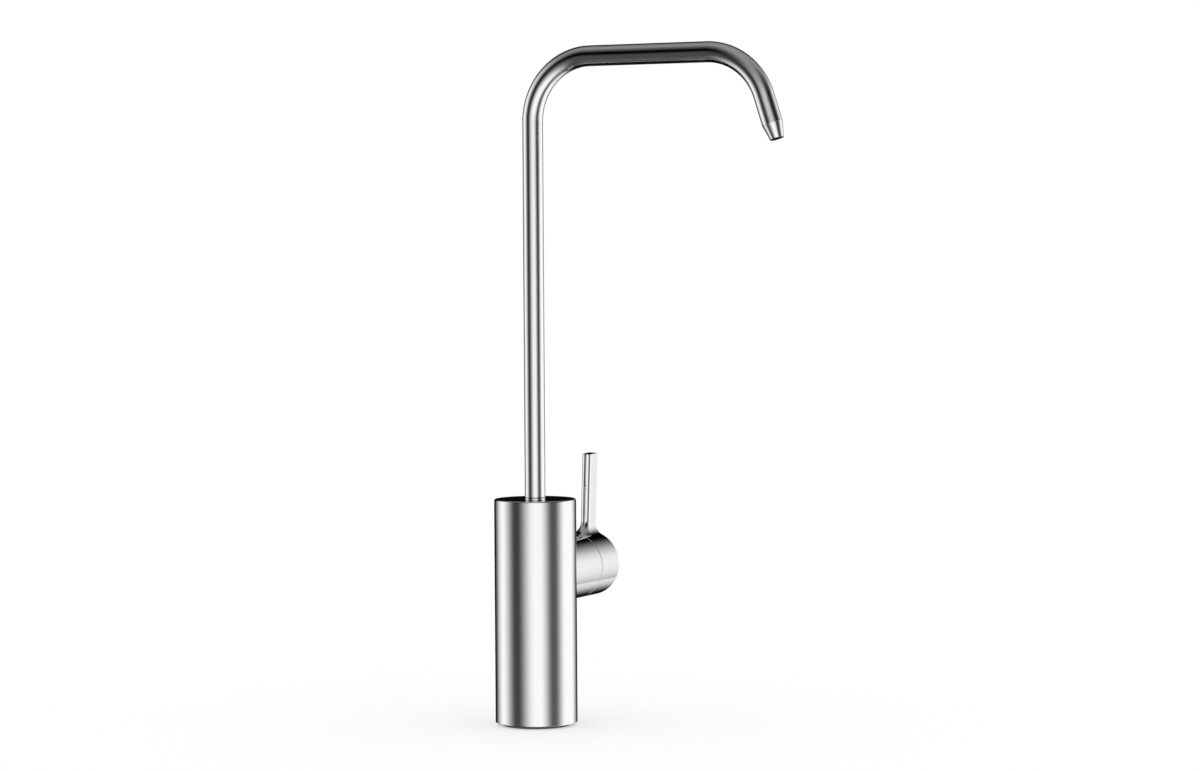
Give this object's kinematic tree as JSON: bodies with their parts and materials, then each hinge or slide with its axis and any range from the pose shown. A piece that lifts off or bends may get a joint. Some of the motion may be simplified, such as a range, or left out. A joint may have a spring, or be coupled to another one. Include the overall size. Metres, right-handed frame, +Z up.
{
  "type": "drinking water tap",
  "caption": "Polished drinking-water tap for a purifier: round upright barrel, slim swivelling gooseneck spout with a tapered nozzle, and a side lever that opens a quarter-turn valve",
  "frame": {"origin": "on the deck, on the barrel's axis, at the centre of the base gasket's lower face", "axes": "+Z up along the barrel, -Y towards the spout's nozzle and the user, +X outwards along the valve's axis to the handle"},
  "size_m": [0.0804, 0.1517, 0.3295],
  "materials": {
    "polished_steel": "mirror polished",
    "cast_zinc": "as cast",
    "bare_steel": "drawn",
    "brass": "machined",
    "rubber": "matt",
    "white_plastic": "moulded",
    "black_plastic": "moulded",
    "grey_plastic": "moulded",
    "ceramic": "lapped"
  },
  "bodies": {
    "tap_body": {"barrel": "polished_steel", "base_plug": "cast_zinc", "base_gasket": "rubber", "inlet_fitting": "brass", "inlet_pipe": "bare_steel", "outlet_pipe": "bare_steel", "spout_socket": "polished_steel", "valve_branch": "polished_steel", "port_seals": "rubber", "port_plate": "white_plastic", "fixed_disc": "ceramic", "thrust_washer": "white_plastic", "cartridge_housing": "white_plastic", "cartridge_nut": "brass", "glide_ring": "black_plastic", "swivel_washer": "black_plastic", "snap_ring": "white_plastic"},
    "spout": {"spout_tail": "brass", "tail_o_rings": "rubber", "spout_tube": "polished_steel", "nozzle": "polished_steel", "nozzle_o_ring": "rubber", "flow_straightener": "white_plastic"},
    "handle": {"handle": "polished_steel", "handle_screw": "bare_steel", "handle_plug": "grey_plastic", "spindle": "brass", "spindle_o_ring": "rubber", "moving_disc": "ceramic"}
  },
  "joints": [
    {"name": "spout_swivel", "type": "hinge", "parent": "tap_body", "child": "spout", "pos_m": [0, 0, 0.111], "axis": [0, 0, 1], "continuous": true},
    {"name": "handle_turn", "type": "hinge", "parent": "tap_body", "child": "handle", "pos_m": [0.0417, 0, 0.074], "axis": [1, 0, 0], "range_deg": [0, 90]}
  ]
}
